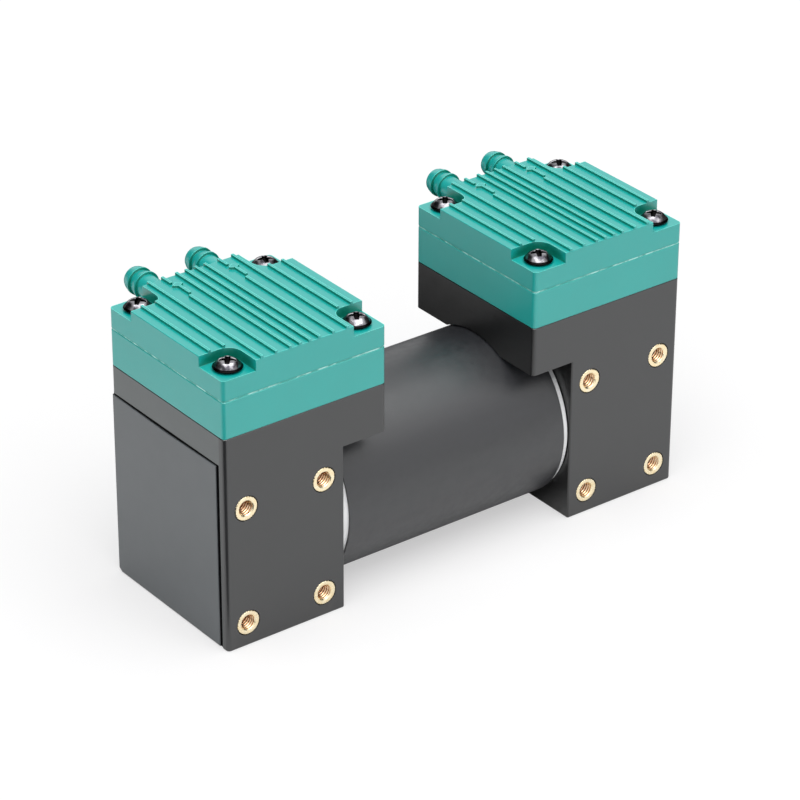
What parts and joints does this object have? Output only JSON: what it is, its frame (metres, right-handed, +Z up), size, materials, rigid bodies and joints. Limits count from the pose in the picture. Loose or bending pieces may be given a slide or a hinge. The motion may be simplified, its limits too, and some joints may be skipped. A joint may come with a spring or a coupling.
{
  "type": "diaphragm vacuum pump",
  "caption": "Diaphragm vacuum pump with a round motor between heads that have ribbed covers, barbed hose nozzles and threaded inserts.",
  "frame": {"origin": "middle of the pump's box, at the plane that the crankcases stand on", "axes": "X along the motor, Y from the threaded inserts to the nozzles, Z up"},
  "size_m": [0.1292, 0.0546, 0.0712],
  "materials": {
    "case_plastic": "moulded, dark grey, fine grain",
    "panel_plastic": "moulded, grey, fine grain",
    "teal_plastic": "moulded, teal, satin",
    "insert_brass": "machined, knurled",
    "black_screws": "black oxide",
    "zinc_screws": "zinc plated",
    "gasket_rubber": "moulded, matte",
    "cap_aluminium": "turned",
    "rod_plastic": "glass-filled",
    "bearing_steel": "ground",
    "turned_steel": "turned",
    "sleeve_black": "shrunk sleeve, satin",
    "can_steel": "drawn",
    "lamination_steel": "stacked sheet",
    "coil_copper": "enamelled copper wire",
    "board_green": "solder mask",
    "magnet_dark": "coated"
  },
  "bodies": {
    "housing": {"left_crankcase": "case_plastic", "left_end_panel": "panel_plastic", "left_panel_seal": "gasket_rubber", "left_threaded_inserts": "insert_brass", "left_motor_screws": "zinc_screws", "left_motor_end_cap": "cap_aluminium", "left_motor_bearing": "bearing_steel", "left_valve_plate": "teal_plastic", "left_valve_gasket": "gasket_rubber", "left_head_cover": "teal_plastic", "left_cover_screws": "black_screws", "left_diaphragm": "gasket_rubber", "right_crankcase": "case_plastic", "right_end_panel": "panel_plastic", "right_panel_seal": "gasket_rubber", "right_threaded_inserts": "insert_brass", "right_motor_screws": "zinc_screws", "right_motor_end_cap": "cap_aluminium", "right_motor_bearing": "bearing_steel", "right_valve_plate": "teal_plastic", "right_valve_gasket": "gasket_rubber", "right_head_cover": "teal_plastic", "right_cover_screws": "black_screws", "right_diaphragm": "gasket_rubber", "motor_sleeve": "sleeve_black", "motor_can": "can_steel", "stator_core": "lamination_steel", "stator_windings": "coil_copper", "driver_board": "board_green"},
    "crankshaft": {"left_eccentric": "turned_steel", "left_counterweight": "turned_steel", "left_set_screw": "black_screws", "right_eccentric": "turned_steel", "right_counterweight": "turned_steel", "right_set_screw": "black_screws", "motor_shaft": "turned_steel", "rotor_core": "can_steel", "rotor_magnets": "magnet_dark"},
    "left_rod": {"left_connecting_rod": "rod_plastic", "left_rod_bearing": "bearing_steel", "left_diaphragm_retainer": "cap_aluminium", "left_retainer_screw": "zinc_screws"},
    "left_outlet_valve": {"left_outlet_valve_disc": "gasket_rubber"},
    "left_inlet_valve": {"left_inlet_valve_disc": "gasket_rubber"},
    "right_rod": {"right_connecting_rod": "rod_plastic", "right_rod_bearing": "bearing_steel", "right_diaphragm_retainer": "cap_aluminium", "right_retainer_screw": "zinc_screws"},
    "right_outlet_valve": {"right_outlet_valve_disc": "gasket_rubber"},
    "right_inlet_valve": {"right_inlet_valve_disc": "gasket_rubber"}
  },
  "joints": [
    {"name": "shaft_spin", "type": "hinge", "parent": "housing", "child": "crankshaft", "pos_m": [0, -0.0054, 0.02195], "axis": [1, 0, 0], "continuous": true},
    {"name": "left_rod_spin", "type": "hinge", "parent": "crankshaft", "child": "left_rod", "pos_m": [-0.0428, -0.0054, 0.02395], "axis": [1, 0, 0], "continuous": true, "deforming": ["left_diaphragm"]},
    {"name": "left_outlet_valve_lift", "type": "slide", "parent": "housing", "child": "left_outlet_valve", "axis": [0, 0, 1], "range_m": [0, 0.0006]},
    {"name": "left_inlet_valve_lift", "type": "slide", "parent": "housing", "child": "left_inlet_valve", "axis": [0, 0, 1], "range_m": [0, 0.0006]},
    {"name": "right_rod_spin", "type": "hinge", "parent": "crankshaft", "child": "right_rod", "pos_m": [0.0428, -0.0054, 0.01995], "axis": [1, 0, 0], "continuous": true, "deforming": ["right_diaphragm"]},
    {"name": "right_outlet_valve_lift", "type": "slide", "parent": "housing", "child": "right_outlet_valve", "axis": [0, 0, 1], "range_m": [0, 0.0006]},
    {"name": "right_inlet_valve_lift", "type": "slide", "parent": "housing", "child": "right_inlet_valve", "axis": [0, 0, 1], "range_m": [0, 0.0006]}
  ],
  "couplings": [
    {"joint": "left_rod_spin", "follows": "shaft_spin", "ratio": -1},
    {"joint": "right_rod_spin", "follows": "shaft_spin", "ratio": -1}
  ]
}
